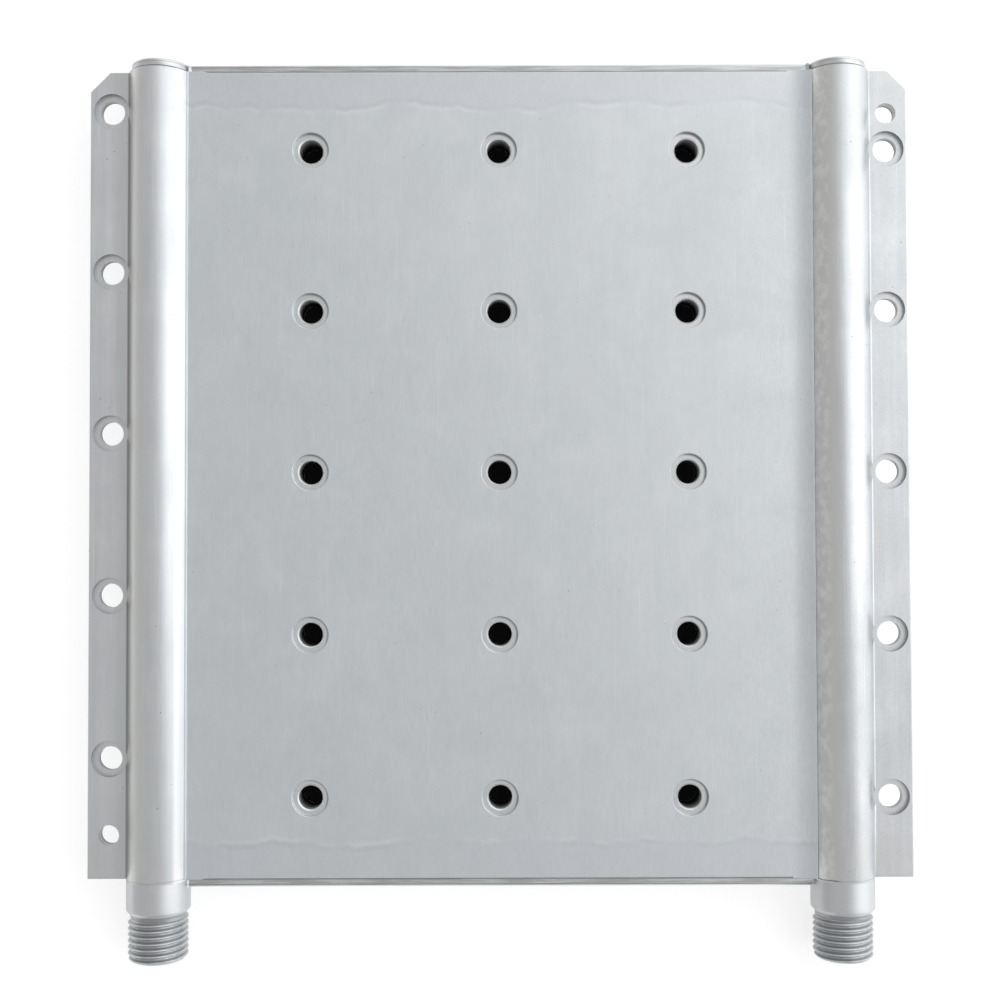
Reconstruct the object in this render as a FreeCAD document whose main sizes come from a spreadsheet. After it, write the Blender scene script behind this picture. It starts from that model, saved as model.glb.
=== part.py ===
import FreeCAD, Part
import math
import os
import Sketcher

# Liquid cooling cold plate: a brazed stack of aluminium sheets, bars, fins and bolt bosses
# between two extruded header tubes. Millimetres, +Z up, lying on its back face.
#
# The origin is on the back face, under the middle bolt hole. X runs across, from the left header
# to the right one, and Y runs along the headers, away from their threaded ends.

doc = FreeCAD.newDocument("cold_plate")

# Driving dimensions: alias, value, meaning.
DIMENSIONS = [
    ("hole_pitch_x", 42.0, "bolt holes, column to column"),
    ("hole_pitch_y", 36.0, "bolt holes, row to row"),
    ("bolt_hole", 5.3, "diameter of a bolt hole, M5 clearance"),
    ("counterbore", 8.0, "diameter of a counterbore"),
    ("edge_break", 0.3, "chamfer on the edges that a hand or a bolt meets"),
    ("cover_thickness", 1.0, "front sheet, and the depth of every counterbore"),
    ("back_thickness", 1.0, "back sheet"),
    ("core_height", 7.6, "closing bars, bosses and fins, between the sheets"),
    ("plate_length", 179.0, "front sheet along Y"),
    ("ledge", 2.2, "how far the bars and the back sheet stand out past the front sheet"),
    ("blank_setback", 2.0, "sheets and bars end short of the header axes"),
    ("bar_width", 10.5, "closing bar along Y"),
    ("bar_rounding", 0.8, "rounded outer edge of a closing bar"),
    ("trim_depth", 0.3, "milled off the front sheet's long edges"),
    ("trim_cutter", 10.0, "diameter of the cutter that trims them"),
    ("boss_outer", 10.6, "diameter of a bolt boss"),
    ("fin_pitch", 5.0, "one whole fold of the fin sheet"),
    ("fin_gauge", 0.3, "thickness of the fin sheet"),
    ("fin_gap", 0.5, "clearance from the fin sheet to a boss or a bar"),
    ("fin_end_gap", 2.0, "clearance from the fin sheet's ends to the header tubes"),
    ("header_span", 152.0, "header axis to header axis"),
    ("header_overhang", 0.5, "header tube past each end of the front sheet"),
    ("tube_outer", 14.0, "outer diameter of the header tube"),
    ("tube_bore", 10.4, "bore of the header tube"),
    ("tube_bevel", 0.35, "chamfer round the capped end of the header tube"),
    ("braze_gap", 0.05, "radial gap of the brazed and welded seats"),
    ("ear_reach", 15.2, "header axis to the ear's outer edge"),
    ("ear_thickness", 2.8, "mounting ear"),
    ("ear_setback", 0.5, "ear ends cut back from the tube ends"),
    ("ear_corner", 4.5, "chamfered outer corner at the ear's capped end"),
    ("ear_edge_radius", 0.4, "rounded outer edges of the ear"),
    ("ear_foot_radius", 0.6, "fillet between the ear and the tube"),
    ("ear_hole_offset", 10.4, "header axis to the ear's hole line"),
    ("left_ear_shift", 8.8, "left ear's holes, up from the rows of the plate's holes"),
    ("small_hole", 4.5, "diameter of the ear's plain hole, M4 clearance"),
    ("small_hole_inset", 9.5, "plain hole, in from the ear's end"),
    ("slot_pitch", 32.0, "feed slots of a header, middle to middle"),
    ("slot_length", 26.0, "feed slot along Y"),
    ("slot_height", 4.0, "feed slot along Z"),
    ("cap_step", 0.6, "end cap smaller than the tube all round"),
    ("cap_rim", 1.7, "end cap beyond the tube end"),
    ("plug_length", 4.0, "end cap or spigot inside the tube"),
    ("shoulder_length", 6.6, "spigot shoulder, as thick as the tube"),
    ("shoulder_bevel", 0.9, "length of the shoulder's bevel"),
    ("thread_outer", 13.157, "thread over its crests, G 1/4"),
    ("relief_outer", 12.2, "undercut between the shoulder and the thread"),
    ("relief_length", 0.4, "undercut along the axis"),
    ("thread_length", 10.1, "undercut, thread and end bevel"),
    ("thread_bevel", 1.3, "bevel at the free end of the thread"),
    ("spigot_bore", 8.5, "bore of a spigot"),
]
HOLE_COLUMNS = 3
HOLE_ROWS = 5
SLOTS = 5

sheet = doc.addObject("Spreadsheet::Sheet", "dims")
for row, (alias, number, meaning) in enumerate(DIMENSIONS, start=1):
    sheet.set(f"A{row}", alias)
    sheet.set(f"B{row}", str(number))
    sheet.set(f"C{row}", meaning)
    sheet.setAlias(f"B{row}", alias)
doc.recompute()

# Sizes that follow from the driving dimensions, as expressions on the sheet.
TUBE_RADIUS = "dims.tube_outer / 2"
SEAT_RADIUS = "(dims.tube_outer / 2 + dims.braze_gap)"
PLUG_RADIUS = "(dims.tube_bore / 2 - dims.braze_gap)"
CORE_TOP = "(dims.back_thickness + dims.core_height)"
FRONT = "(dims.back_thickness + dims.core_height + dims.cover_thickness)"
EAR_TOP = f"({FRONT} - {TUBE_RADIUS})"
HEADER_END = "(dims.plate_length / 2 + dims.header_overhang)"
EAR_END = f"({HEADER_END} - dims.ear_setback)"
BLANK_REACH = "(dims.header_span / 2 - dims.blank_setback)"
BAR_REACH = "(dims.plate_length / 2 + dims.ledge)"
BAR_INNER = f"({BAR_REACH} - dims.bar_width)"


def value(expression):
    """The number that an expression on the sheet gives now."""
    return float(sheet.evalExpression(expression))


def bind(target, path, expression):
    """Tie a property, or a constraint of a sketch, to an expression on the sheet."""
    target.setExpression(path, expression)


def new_body(name, x="0", y="0", z="0"):
    """An empty body whose own origin stands at (x, y, z)."""
    body = doc.addObject("PartDesign::Body", name)
    body.Label = name
    for axis, expression in (("x", x), ("y", y), ("z", z)):
        bind(body, f"Placement.Base.{axis}", expression)
    return body


def origin_feature(body, role):
    return next(item for item in body.Origin.OriginFeatures if item.Role == role)


def new_sketch(body, name, role, offset="0"):
    """A sketch on one of the body's origin planes, moved along the plane's normal."""
    sketch = body.newObject("Sketcher::SketchObject", name)
    sketch.AttachmentSupport = (origin_feature(body, role), [""])
    sketch.MapMode = "FlatFace"
    bind(sketch, "AttachmentOffset.Base.z", offset)
    return sketch


def constrain(sketch, kind, *arguments, expression):
    """Add a sized constraint and bind it."""
    index = sketch.addConstraint(Sketcher.Constraint(kind, *arguments, value(expression)))
    bind(sketch, f"Constraints[{index}]", expression)


def hold_point(sketch, geometry, vertex, x, y):
    """Hold a point of the sketch at (x, y), measured from the sketch's origin."""
    constrain(sketch, "DistanceX", -1, 1, geometry, vertex, expression=x)
    constrain(sketch, "DistanceY", -1, 1, geometry, vertex, expression=y)


def draw_polygon(sketch, points):
    """A closed outline of straight lines through (x, y) points."""
    corners = [FreeCAD.Vector(value(x), value(y), 0) for x, y in points]
    count = len(corners)
    lines = [Part.LineSegment(corners[i], corners[(i + 1) % count]) for i in range(count)]
    first = sketch.addGeometry(lines, False)[0]
    for i in range(count):
        following = first + (i + 1) % count
        sketch.addConstraint(Sketcher.Constraint("Coincident", first + i, 2, following, 1))
        hold_point(sketch, first + i, 1, *points[i])


def draw_rectangle(sketch, x_low, x_high, y_low, y_high):
    draw_polygon(sketch, [(x_low, y_low), (x_high, y_low), (x_high, y_high), (x_low, y_high)])


def draw_circle(sketch, x, y, radius):
    centre = FreeCAD.Vector(value(x), value(y), 0)
    circle = Part.Circle(centre, FreeCAD.Vector(0, 0, 1), value(radius))
    index = sketch.addGeometry(circle, False)
    hold_point(sketch, index, 3, x, y)
    constrain(sketch, "Radius", index, expression=radius)


def draw_slot(sketch, x, y, half_straight, radius):
    """A round-ended slot along the sketch's X axis: two arcs joined by two lines."""
    up = FreeCAD.Vector(0, 0, 1)
    middle = FreeCAD.Vector(value(x), value(y), 0)
    run = FreeCAD.Vector(value(half_straight), 0, 0)
    rise = FreeCAD.Vector(0, value(radius), 0)
    right = Part.Circle(middle + run, up, value(radius))
    left = Part.Circle(middle - run, up, value(radius))
    arc_right, arc_left, top, bottom = sketch.addGeometry([
        Part.ArcOfCircle(right, -math.pi / 2, math.pi / 2),
        Part.ArcOfCircle(left, math.pi / 2, 3 * math.pi / 2),
        Part.LineSegment(middle + run + rise, middle - run + rise),
        Part.LineSegment(middle - run - rise, middle + run - rise),
    ], False)
    for first, first_end, second, second_end in (
            (arc_right, 2, top, 1), (top, 2, arc_left, 1),
            (arc_left, 2, bottom, 1), (bottom, 2, arc_right, 1)):
        sketch.addConstraint(Sketcher.Constraint("Tangent", first, first_end, second, second_end))
    hold_point(sketch, arc_right, 3, f"{x} + {half_straight}", y)
    hold_point(sketch, arc_left, 3, f"{x} - {half_straight}", y)
    constrain(sketch, "Radius", arc_right, expression=radius)


def pad(body, sketch, name, length, side="One side"):
    feature = body.newObject("PartDesign::Pad", name)
    feature.Profile = sketch
    feature.SideType = side
    bind(feature, "Length", length)
    doc.recompute()
    return feature


def pocket(body, sketch, name, depth=None, side="One side", upward=False):
    """Cut a sketch out of the body, right through where no depth is given."""
    before = body.Shape.Volume
    feature = body.newObject("PartDesign::Pocket", name)
    feature.Profile = sketch
    feature.SideType = side
    feature.Reversed = upward
    if depth is None:
        feature.Type = "ThroughAll"
    else:
        bind(feature, "Length", depth)
    doc.recompute()
    require_cut(body, name, before)
    return feature


def require_cut(body, name, before):
    if body.Shape.Volume >= before - 1e-6:
        raise RuntimeError(f"{body.Label}: {name} cuts nothing")


def revolve(body, sketch, name, role):
    feature = body.newObject("PartDesign::Revolution", name)
    feature.Profile = sketch
    feature.ReferenceAxis = (origin_feature(body, role), [""])
    feature.Angle = 360
    doc.recompute()
    return feature


def row_pattern(body, name, originals, span, count):
    """Repeat features along the body's Y axis."""
    pattern = body.newObject("PartDesign::LinearPattern", name)
    pattern.Originals = originals
    pattern.Direction = (origin_feature(body, "Y_Axis"), [""])
    pattern.Occurrences = count
    bind(pattern, "Length", span)
    body.Tip = pattern
    doc.recompute()
    return pattern


def round_edges(body, name, radius, wanted):
    """Fillet every edge of the body's tip that the test picks."""
    return dress_edges(body, "PartDesign::Fillet", name, "Radius", radius, wanted)


def bevel_edges(body, name, size, wanted):
    """Chamfer every edge of the body's tip that the test picks."""
    return dress_edges(body, "PartDesign::Chamfer", name, "Size", size, wanted)


def dress_edges(body, kind, name, size_property, size, wanted):
    base = body.Tip
    picked = [f"Edge{i}" for i, edge in enumerate(base.Shape.Edges, start=1) if wanted(edge)]
    if not picked:
        raise RuntimeError(f"{body.Label}: {name} finds no edge")
    feature = body.newObject(kind, name)
    feature.Base = (base, picked)
    bind(feature, size_property, size)
    doc.recompute()
    return feature


def near(a, b):
    return abs(a - b) < 1e-4


def runs_at(edge, **places):
    """Does the edge lie wholly at these x, y or z values?"""
    ends = [vertex.Point for vertex in edge.Vertexes]
    return all(near(getattr(end, axis), place) for axis, place in places.items() for end in ends)


def is_circle(edge, radius, z=None, y=None):
    """Is it a full circle of this radius, at this height or place along Y?"""
    curve = edge.Curve
    if not isinstance(curve, Part.Circle) or not near(curve.Radius, radius):
        return False
    centre = curve.Center
    return (z is None or near(centre.z, z)) and (y is None or near(centre.y, y))


def hole_places():
    """Row, column and (x, y) expressions of every bolt hole of the plate."""
    for row in range(HOLE_ROWS):
        for column in range(HOLE_COLUMNS):
            x = f"({column - (HOLE_COLUMNS - 1) / 2} * dims.hole_pitch_x)"
            y = f"({(HOLE_ROWS - 1) / 2 - row} * dims.hole_pitch_y)"
            yield row + 1, column + 1, x, y


def cut_hole_grid(body, name, radius):
    sketch = new_sketch(body, f"{name}_sketch", "XY_Plane")
    for _, _, x, y in hole_places():
        draw_circle(sketch, x, y, radius)
    return pocket(body, sketch, name, side="Symmetric")


def cope_ends(body, name, height):
    """Hollow both ends of a layer so that they fit against the header tubes.

    height is the tube axis above the body's own origin.
    """
    sketch = new_sketch(body, f"{name}_sketch", "XZ_Plane")
    for side in (-1, 1):
        draw_circle(sketch, f"{side} * dims.header_span / 2", height, SEAT_RADIUS)
    return pocket(body, sketch, name, side="Symmetric")


def build_cover_sheet():
    body = new_body("cover_sheet", z=CORE_TOP)
    half_length = "(dims.plate_length / 2 + dims.trim_depth)"
    blank = new_sketch(body, "cover_blank", "XY_Plane")
    draw_rectangle(blank, f"-{BLANK_REACH}", BLANK_REACH, f"-{half_length}", half_length)
    pad(body, blank, "cover_plate", "dims.cover_thickness")
    cope_ends(body, "cover_cope", f"{TUBE_RADIUS} - {CORE_TOP}")

    # The cutter runs along each long edge as far as the tubes let it, and leaves a small step there.
    path = new_sketch(body, "trim_path", "XY_Plane")
    rise = f"({FRONT} - {TUBE_RADIUS})"
    flank = f"(dims.header_span / 2 - sqrt(({TUBE_RADIUS}) ^ 2 - {rise} ^ 2))"
    for side in (-1, 1):
        draw_slot(path, "0", f"{side} * (dims.plate_length / 2 + dims.trim_cutter / 2)",
                  f"({flank} - dims.trim_cutter / 2)", "dims.trim_cutter / 2")
    pocket(body, path, "edge_trim", side="Symmetric")
    cut_hole_grid(body, "counterbores", "dims.counterbore / 2")
    return body


def build_back_sheet():
    body = new_body("back_sheet")
    blank = new_sketch(body, "back_blank", "XY_Plane")
    draw_rectangle(blank, f"-{BLANK_REACH}", BLANK_REACH, f"-{BAR_REACH}", BAR_REACH)
    pad(body, blank, "back_plate", "dims.back_thickness")
    cope_ends(body, "back_cope", TUBE_RADIUS)
    cut_hole_grid(body, "bolt_holes", "dims.bolt_hole / 2")
    return body


def build_closing_bar(name, side):
    """A bar along one long edge of the plate; side is +1 at the capped end, -1 at the threads."""
    body = new_body(name, z="dims.back_thickness")
    outline = new_sketch(body, f"{name}_outline", "XY_Plane")
    draw_rectangle(outline, f"-{BLANK_REACH}", BLANK_REACH, f"{side} * {BAR_INNER}", f"{side} * {BAR_REACH}")
    pad(body, outline, f"{name}_bar", "dims.core_height")
    reach = side * value(BAR_REACH)
    top = value("dims.core_height")
    round_edges(body, f"{name}_edge", "dims.bar_rounding", lambda edge: runs_at(edge, y=reach, z=top))
    cope_ends(body, f"{name}_cope", f"{TUBE_RADIUS} - dims.back_thickness")
    return body


def build_boss(row, column, x, y):
    """A thick ring between the sheets that keeps the coolant out of a bolt hole."""
    body = new_body(f"boss_r{row}c{column}", x, y, "dims.back_thickness")
    ring = new_sketch(body, f"{body.Label}_ring", "XY_Plane")
    draw_circle(ring, "0", "0", "dims.boss_outer / 2")
    draw_circle(ring, "0", "0", "dims.bolt_hole / 2")
    pad(body, ring, f"{body.Label}_body", "dims.core_height")
    hole, top = value("dims.bolt_hole / 2"), value("dims.core_height")
    bevel_edges(body, f"{body.Label}_bevel", "dims.edge_break",
                lambda edge: is_circle(edge, hole, z=top))
    return body


def fin_outline(start, folds, pitch, gauge, height):
    """Corners of a sheet folded square, seen along its folds: out over the top, back below."""
    half = gauge / 2
    over, under = [], []
    for fold in range(folds):
        rise = start + fold * pitch + pitch / 4
        fall = rise + pitch / 2
        over += [(rise - half, gauge), (rise - half, height), (fall + half, height), (fall + half, gauge)]
        under += [(rise + half, 0), (rise + half, height - gauge), (fall - half, height - gauge),
                  (fall - half, 0)]
    finish = start + folds * pitch
    return [(start, gauge)] + over + [(finish, gauge), (finish, 0)] + under[::-1] + [(start, 0)]


def build_fin_pad():
    """One folded sheet from bar to bar, with a round notch for every boss."""
    pitch, height = value("dims.fin_pitch"), value("dims.core_height")
    floor = value("dims.back_thickness")
    room = 2 * value(f"{BAR_INNER} - dims.fin_gap")
    folds = int(room / pitch)
    reach = value("dims.header_span / 2 - dims.tube_outer / 2 - dims.fin_end_gap")
    corners = fin_outline(-folds * pitch / 2, folds, pitch, value("dims.fin_gauge"), height)
    wire = Part.makePolygon([FreeCAD.Vector(-reach, y, z) for y, z in corners + corners[:1]])
    folded = Part.Face(wire).extrude(FreeCAD.Vector(2 * reach, 0, 0))
    notch = value("dims.boss_outer / 2 + dims.fin_gap")
    notches = [Part.makeCylinder(notch, height, FreeCAD.Vector(value(x), value(y), 0))
               for _, _, x, y in hole_places()]
    feature = doc.addObject("Part::Feature", "fin_pad")
    feature.Shape = folded.cut(notches)
    feature.Placement.Base.z = floor
    return feature


def build_header(name, side, shift):
    """Header extrusion, tube and ear in one; side is -1 on the left and +1 on the right.

    Its own origin is the middle of the tube's axis. shift moves the ear's row of bolt holes.
    """
    body = new_body(name, f"{side} * dims.header_span / 2", "0", TUBE_RADIUS)
    tube = new_sketch(body, f"{name}_round", "XZ_Plane")
    draw_circle(tube, "0", "0", TUBE_RADIUS)
    pad(body, tube, f"{name}_tube", f"2 * {HEADER_END}", "Symmetric")
    bevel_edges(body, f"{name}_tube_bevel", "dims.tube_bevel",
                lambda edge: is_circle(edge, value(TUBE_RADIUS), y=value(HEADER_END)))

    plan = new_sketch(body, f"{name}_ear_plan", "XY_Plane", f"{EAR_TOP} - dims.ear_thickness")
    edge_x = f"{side} * dims.ear_reach"
    inset_x = f"{side} * (dims.ear_reach - dims.ear_corner)"
    draw_polygon(plan, [
        ("0", f"-{EAR_END}"), (edge_x, f"-{EAR_END}"), (edge_x, f"{EAR_END} - dims.ear_corner"),
        (inset_x, EAR_END), ("0", EAR_END)])
    pad(body, plan, f"{name}_ear", "dims.ear_thickness")
    reach = side * value("dims.ear_reach")
    top = value(EAR_TOP)
    bottom = value(f"{EAR_TOP} - dims.ear_thickness")
    round_edges(body, f"{name}_ear_edges", "dims.ear_edge_radius",
                lambda edge: runs_at(edge, x=reach) and near(edge.BoundBox.ZLength, 0))

    def at_foot(edge):
        foot = side * math.sqrt(value(TUBE_RADIUS) ** 2 - edge.CenterOfMass.z ** 2)
        return any(runs_at(edge, x=foot, z=level) for level in (top, bottom))
    round_edges(body, f"{name}_foot", "dims.ear_foot_radius", at_foot)

    bore = new_sketch(body, f"{name}_bore_circle", "XZ_Plane")
    draw_circle(bore, "0", "0", "dims.tube_bore / 2")
    pocket(body, bore, f"{name}_bore", side="Symmetric")

    # The counterbores are cut from above, so they bite into the tube's foot.
    hole_x = f"{side} * dims.ear_hole_offset"
    first_y = f"-{(HOLE_ROWS - 1) / 2} * dims.hole_pitch_y + {shift}"
    span = f"{HOLE_ROWS - 1} * dims.hole_pitch_y"
    wide = new_sketch(body, f"{name}_wide_circle", "XY_Plane", f"{EAR_TOP} - dims.cover_thickness")
    draw_circle(wide, hole_x, first_y, "dims.counterbore / 2")
    wide_cut = pocket(body, wide, f"{name}_counterbore", upward=True)
    through = new_sketch(body, f"{name}_hole_circle", "XY_Plane")
    draw_circle(through, hole_x, first_y, "dims.bolt_hole / 2")
    through_cut = pocket(body, through, f"{name}_hole", side="Symmetric")
    row_pattern(body, f"{name}_hole_row", [wide_cut, through_cut], span, HOLE_ROWS)

    plain = new_sketch(body, f"{name}_small_circle", "XY_Plane")
    draw_circle(plain, hole_x, f"{side} * ({EAR_END} - dims.small_hole_inset)", "dims.small_hole / 2")
    pocket(body, plain, f"{name}_small_hole", side="Symmetric")

    # Feed slots through the tube wall, level with the middle of the coolant space.
    slot = new_sketch(body, f"{name}_slot_outline", "YZ_Plane")
    level = f"dims.back_thickness + dims.core_height / 2 - {TUBE_RADIUS}"
    draw_slot(slot, f"-{(SLOTS - 1) / 2} * dims.slot_pitch", level,
              "(dims.slot_length - dims.slot_height) / 2", "dims.slot_height / 2")
    slot_cut = pocket(body, slot, f"{name}_slot", "dims.tube_outer", upward=side < 0)
    row_pattern(body, f"{name}_slot_row", [slot_cut], f"{SLOTS - 1} * dims.slot_pitch", SLOTS)
    return body


def build_end_cap(name, side):
    """Turned cap: a plug in the tube and a rim over its end, about the tube's axis."""
    body = new_body(name, f"{side} * dims.header_span / 2", HEADER_END, TUBE_RADIUS)
    rim = f"({TUBE_RADIUS} - dims.cap_step)"
    half = new_sketch(body, f"{name}_half", "XY_Plane")
    draw_polygon(half, [
        ("0", "-dims.plug_length"), (f"{PLUG_RADIUS} - dims.edge_break", "-dims.plug_length"),
        (PLUG_RADIUS, "-dims.plug_length + dims.edge_break"), (PLUG_RADIUS, "0"), (rim, "0"),
        (rim, "dims.cap_rim - dims.edge_break"), (f"{rim} - dims.edge_break", "dims.cap_rim"),
        ("0", "dims.cap_rim")])
    revolve(body, half, f"{name}_turned", "Y_Axis")
    return body


def build_spigot(name, side):
    """Turned port: tail in the tube, shoulder, undercut and threaded end, bored through.

    The thread is carried at the diameter over its crests.
    """
    body = new_body(name, f"{side} * dims.header_span / 2", f"-{HEADER_END}", TUBE_RADIUS)
    bore = "dims.spigot_bore / 2"
    crest = "dims.thread_outer / 2"
    relief = "dims.relief_outer / 2"
    shoulder = "-dims.shoulder_length"
    bevel_end = f"({shoulder} - dims.shoulder_bevel)"
    thread_start = f"({bevel_end} - dims.relief_length)"
    tip = f"({bevel_end} - dims.thread_length)"
    half = new_sketch(body, f"{name}_half", "XY_Plane")
    draw_polygon(half, [
        (bore, "dims.plug_length"), (PLUG_RADIUS, "dims.plug_length"), (PLUG_RADIUS, "0"),
        (TUBE_RADIUS, "0"), (TUBE_RADIUS, shoulder), (relief, bevel_end), (relief, thread_start),
        (crest, f"{thread_start} - ({crest} - {relief})"), (crest, f"{tip} + dims.thread_bevel"),
        (f"{crest} - dims.thread_bevel", tip), (f"{bore} + dims.edge_break", tip),
        (bore, f"{tip} + dims.edge_break")])
    revolve(body, half, f"{name}_turned", "Y_Axis")
    return body


def check_document(parts):
    """Stop if any object failed, or if a piece is not one sound solid."""
    doc.recompute()
    for item in doc.Objects:
        if {"Invalid", "Error"} & set(item.State):
            raise RuntimeError(f"{item.Label} failed: {item.State}")
    for item in parts:
        shape = item.Shape
        if shape.isNull() or not shape.isValid() or len(shape.Solids) != 1:
            raise RuntimeError(f"{item.Label} is not one valid solid")


def main():
    parts = [build_cover_sheet(), build_back_sheet()]
    parts += [build_closing_bar("closing_bar_top", 1), build_closing_bar("closing_bar_bottom", -1)]
    parts += [build_boss(*place) for place in hole_places()]
    parts.append(build_fin_pad())
    parts += [build_header("header_left", -1, "dims.left_ear_shift"), build_header("header_right", 1, "0")]
    for side_name, side in (("left", -1), ("right", 1)):
        parts.append(build_end_cap(f"end_cap_{side_name}", side))
        parts.append(build_spigot(f"spigot_{side_name}", side))
    check_document(parts)
    os.makedirs("parts", exist_ok=True)
    for item in parts:
        item.Shape.exportStep(f"parts/{item.Label}.step")
    print(len(parts), "pieces written")


main()
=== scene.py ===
import math

import bmesh
import bpy
from mathutils import Euler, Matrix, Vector


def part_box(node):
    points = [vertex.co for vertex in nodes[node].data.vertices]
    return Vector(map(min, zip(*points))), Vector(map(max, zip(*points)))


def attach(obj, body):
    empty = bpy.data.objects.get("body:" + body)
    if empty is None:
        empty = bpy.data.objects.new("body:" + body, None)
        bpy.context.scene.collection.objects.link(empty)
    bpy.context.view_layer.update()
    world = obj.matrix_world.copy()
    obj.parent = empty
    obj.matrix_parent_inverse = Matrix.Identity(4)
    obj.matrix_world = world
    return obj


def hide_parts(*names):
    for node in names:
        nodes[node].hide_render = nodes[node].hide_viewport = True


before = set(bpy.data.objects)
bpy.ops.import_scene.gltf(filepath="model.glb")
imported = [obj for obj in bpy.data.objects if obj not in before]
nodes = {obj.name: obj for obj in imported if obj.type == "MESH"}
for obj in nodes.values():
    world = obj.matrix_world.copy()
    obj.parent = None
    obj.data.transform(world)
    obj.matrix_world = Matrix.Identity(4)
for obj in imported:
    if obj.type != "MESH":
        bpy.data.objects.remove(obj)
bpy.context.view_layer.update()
mm = 0.001
print("frame loaded:", len(nodes), "pieces")


# small helpers for shader and geometry trees

def addNode(tree, kind, inputs=None, **settings):
    made = tree.nodes.new(kind)
    for key, value in settings.items():
        setattr(made, key, value)
    for key, value in (inputs or {}).items():
        plug(tree, value, made.inputs[key])
    return made


def plug(tree, value, socket):
    if isinstance(value, bpy.types.NodeSocket):
        tree.links.new(value, socket)
    else:
        socket.default_value = value


def calc(tree, operation, first, second=0.0, third=0.0, clamp=False):
    node = addNode(tree, "ShaderNodeMath", {0: first, 1: second, 2: third},
                   operation=operation, use_clamp=clamp)
    return node.outputs[0]


def ramp(tree, value, low, high, toLow=0.0, toHigh=1.0):
    node = addNode(tree, "ShaderNodeMapRange", {"Value": value, "From Min": low, "From Max": high,
                                                "To Min": toLow, "To Max": toHigh},
                   interpolation_type="SMOOTHSTEP")
    return node.outputs["Result"]


def fade(tree, value, ends, toLow=1.0, toHigh=0.0):
    return ramp(tree, value, ends[0] * mm, ends[1] * mm, toLow, toHigh)   # ends in mm


def addNodeMix(tree, amount, first, second, blend="MIX"):
    node = tree.nodes.new("ShaderNodeMix")
    node.data_type = "RGBA"
    node.blend_type = blend
    plug(tree, amount, node.inputs[0])
    plug(tree, first, node.inputs[6])
    plug(tree, second, node.inputs[7])
    return node.outputs[2]


def noise(tree, vector, scale, stretch=(1, 1, 1), detail=2.0, roughness=0.5, shift=(0, 0, 0),
          distortion=0.0):
    spread = addNode(tree, "ShaderNodeMapping", {"Vector": vector, "Scale": stretch, "Location": shift})
    node = addNode(tree, "ShaderNodeTexNoise", {"Vector": spread.outputs[0], "Scale": scale,
                                                "Detail": detail, "Roughness": roughness,
                                                "Distortion": distortion})
    return node.outputs["Fac"]


def product(tree, first, *others):
    for other in others:
        first = calc(tree, "MULTIPLY", first, other)
    return first


def distance(tree, first, second):
    squares = [calc(tree, "MULTIPLY", part, part) for part in (first, second)]
    return calc(tree, "SQRT", calc(tree, "ADD", *squares))


def swing(tree, pattern, width):
    return calc(tree, "MULTIPLY", calc(tree, "SUBTRACT", pattern, 0.5), width)   # a shift either way


def splitPlace(tree, place):
    return addNode(tree, "ShaderNodeSeparateXYZ", {0: place}).outputs


def tint(parts, amount, colour):
    parts["colour"] = addNodeMix(parts["tree"], amount, parts["colour"], colour)


def dimmed(tree, colour, level):
    grey = addNode(tree, "ShaderNodeCombineColor", {0: level, 1: level, 2: level})
    return addNodeMix(tree, 1.0, colour, grey.outputs[0], "MULTIPLY")


def addObject(name, data):
    made = bpy.data.objects.new(name, data)
    bpy.context.scene.collection.objects.link(made)
    return made


# bare aluminium, one recipe with a dictionary of settings for each finish

aluminium = {
    "colour": (0.76, 0.795, 0.822, 1),
    "stain": (0.65, 0.69, 0.685, 1),      # greenish grey patches from washing
    "blotchSize": 28,                     # mm
    "blotch": 0.35,
    "cloud": (0.83, 0.84245, 0.8549, 1),  # paler clouds over the blotches
    "cloudShare": 0.28,                   # of a blotch's size
    "fineSize": 0.35,                     # mm
    "grainAcross": 0.17,                  # mm, width of a drawing line
    "grainAlong": 3,                      # mm, length of a drawing line
    "grainAxis": "Y",
    "grain": 0.07,
    "streak": 0.022,
    "mottle": 0.05,
    "speck": 0.5,
    "speckSpacing": 1.9,                  # mm
    "speckRadius": 0.085,                 # of that spacing
    "speckPatch": 4.5,                    # mm, pits keep to patches of this size
    "scratch": 0.25,
    "scratchWidth": 0.13,                 # mm
    "scratchLength": 26,                  # mm
    "scratchTurn": 0.9,                   # radians
    "roughness": 0.48,
    "leastRoughness": 0.12,
    "bump": 0.10,
    "bumpHeight": 0.02,                   # mm
    "seed": 0,
}


def stretchFor(axis, across, along):
    wide, fine = 1 / (along * mm), 1 / (across * mm)
    return {"X": (wide, fine, fine), "Y": (fine, wide, fine), "Z": (fine, fine, wide)}[axis]


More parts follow.
